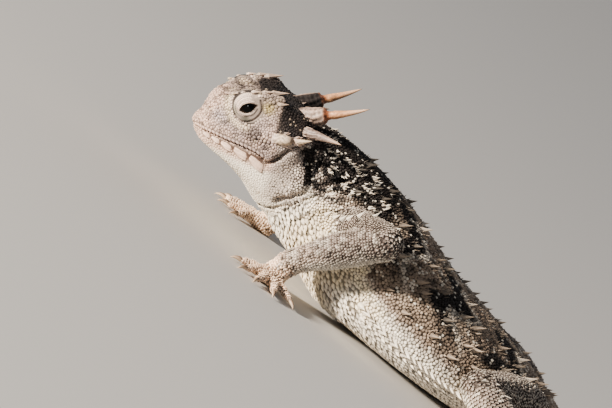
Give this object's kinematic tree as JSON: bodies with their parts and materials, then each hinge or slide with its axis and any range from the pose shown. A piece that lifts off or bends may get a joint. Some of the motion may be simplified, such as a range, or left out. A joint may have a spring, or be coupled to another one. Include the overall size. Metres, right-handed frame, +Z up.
{
  "type": "desert horned lizard model",
  "caption": "Life-size still model of a horned lizard at rest: flat spiny body, crown of horns, short tail, propped on its forelegs with its head bowed.",
  "frame": {"origin": "on the floor, under the middle of the animal's length and width, at the level of the belly and paws", "axes": "+X from the snout to the tail, +Y to the animal's right side, +Z up"},
  "size_m": [0.1128, 0.0798, 0.0291],
  "materials": {
    "skin": "matt granular scaly skin in soft cast resin",
    "throat_skin": "matt pale scaly skin in soft cast resin",
    "horn": "satin horn",
    "eye": "polished near-black glass"
  },
  "bodies": {
    "root": {"head": "skin", "neck": "skin", "torso": "skin", "tail_base": "skin", "tail_tip": "skin", "upper_arm_left": "skin", "forearm_left": "skin", "hand_left": "skin", "thigh_left": "skin", "shank_left": "skin", "foot_left": "skin", "upper_arm_right": "skin", "forearm_right": "skin", "hand_right": "skin", "thigh_right": "skin", "shank_right": "skin", "foot_right": "skin", "lower_jaw": "throat_skin", "eye_left": "eye", "horn_occipital_left": "horn", "horn_temporal_1_left": "horn", "horn_temporal_2_left": "horn", "horn_temporal_3_left": "horn", "eye_right": "eye", "horn_occipital_right": "horn", "horn_temporal_1_right": "horn", "horn_temporal_2_right": "horn", "horn_temporal_3_right": "horn"}
  },
  "joints": []
}
